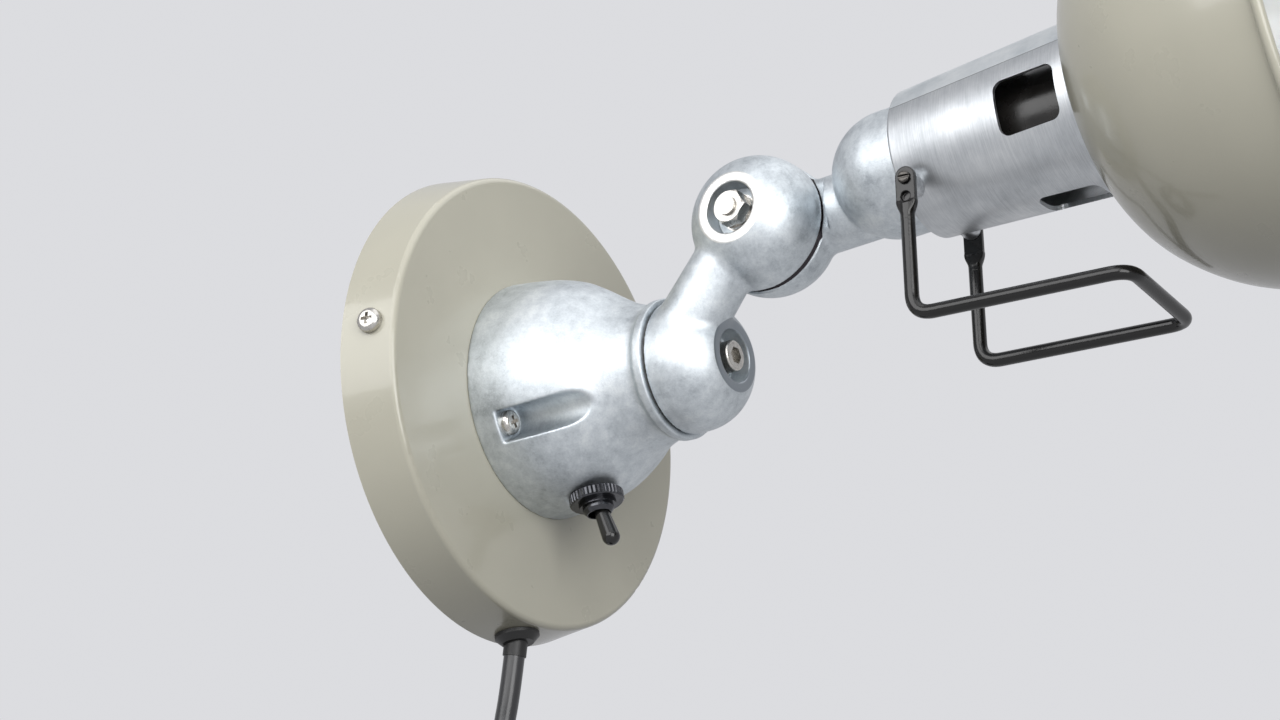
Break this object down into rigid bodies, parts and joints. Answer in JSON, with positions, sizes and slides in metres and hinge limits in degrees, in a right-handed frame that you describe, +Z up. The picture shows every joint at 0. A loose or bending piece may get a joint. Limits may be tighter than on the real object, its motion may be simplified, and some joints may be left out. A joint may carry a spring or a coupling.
{
  "type": "articulating wall lamp",
  "caption": "Wall lamp with a round enamelled wall cover, cast base, swivelling arm, ball joint, vented sleeve, bell shade, wire handle, toggle switch and mains cord.",
  "frame": {"origin": "middle of the wall face, on the axis of the base casting", "axes": "+Z up, +Y into the wall, the lamp stands out along -Y, +X to the right of someone facing the wall"},
  "size_m": [0.168, 0.3076, 0.4071],
  "materials": {
    "cover_enamel": "warm grey enamel, semi-gloss",
    "cast_metal": "tumbled raw casting",
    "turned_steel": "turned, fine rings",
    "zinc_steel": "zinc plated",
    "bright_steel": "nickel plated",
    "black_chrome": "black chrome plated",
    "black_wire": "satin black",
    "black_lever": "polished",
    "black_rubber": "satin",
    "black_cord": "satin sheath",
    "black_tie": "matt band",
    "nickel_pins": "nickel plated",
    "cream_block": "moulded",
    "brass_parts": "plain",
    "dark_fibre": "pressed fibre",
    "shade_enamel": "the cover's enamel, white inside",
    "black_holder": "moulded insulator",
    "bulb_metal": "rolled",
    "bulb_glass": "clear"
  },
  "bodies": {
    "wall_base": {"back_plate": "zinc_steel", "wall_cover": "cover_enamel", "spacer_posts": "zinc_steel", "cover_brackets": "zinc_steel", "cover_screws": "bright_steel", "base_casting": "cast_metal", "casting_screws": "bright_steel", "cord_grommet": "black_rubber", "terminal_block": "cream_block", "terminal_screws": "bright_steel", "inner_cord": "black_cord", "cord_clamp": "cream_block", "clamp_screws": "bright_steel", "switch_body": "zinc_steel", "switch_terminals": "brass_parts", "switch_bushing": "black_chrome", "switch_knurled_nut": "black_chrome", "base_friction_ring": "dark_fibre", "base_pivot_bolt": "bright_steel", "base_head_washer": "bright_steel", "base_web_washer": "zinc_steel", "base_spring_washer": "zinc_steel", "base_pivot_nut": "zinc_steel", "mains_cord": "black_cord", "cord_coil": "black_cord", "coil_tie": "black_tie", "plug_body": "black_cord", "plug_pins": "nickel_pins"},
    "switch_lever": {"switch_lever": "black_lever"},
    "arm": {"arm_casting": "cast_metal", "ball_friction_ring": "dark_fibre", "ball_pivot_bolt": "bright_steel", "ball_head_washer": "bright_steel", "ball_nut_washer": "bright_steel", "ball_spring_washer": "bright_steel", "ball_pivot_nut": "bright_steel"},
    "head": {"head_casting": "cast_metal", "lamp_sleeve": "turned_steel", "shade": "shade_enamel", "shade_ring": "turned_steel", "holder_plate": "zinc_steel", "holder_nipple": "zinc_steel", "lamp_holder": "black_holder", "holder_shell": "brass_parts", "holder_contact": "brass_parts", "bulb_cap": "bulb_metal", "bulb_tip": "bulb_metal", "bulb_glass": "bulb_glass", "handle_wire": "black_wire", "handle_screws": "bright_steel", "handle_spacers": "turned_steel"}
  },
  "joints": [
    {"name": "arm_swing", "type": "hinge", "parent": "wall_base", "child": "arm", "pos_m": [0, -0.0748, 0], "axis": [0, -1, 0], "range_deg": [-120, 120]},
    {"name": "head_tilt", "type": "hinge", "parent": "arm", "child": "head", "pos_m": [0, -0.1072, 0.0402], "axis": [1, 0, 0], "range_deg": [-80, 70]},
    {"name": "switch_toggle", "type": "hinge", "parent": "wall_base", "child": "switch_lever", "pos_m": [0, -0.04142, -0.03736], "axis": [1, 0, 0], "range_deg": [0, 22]}
  ]
}
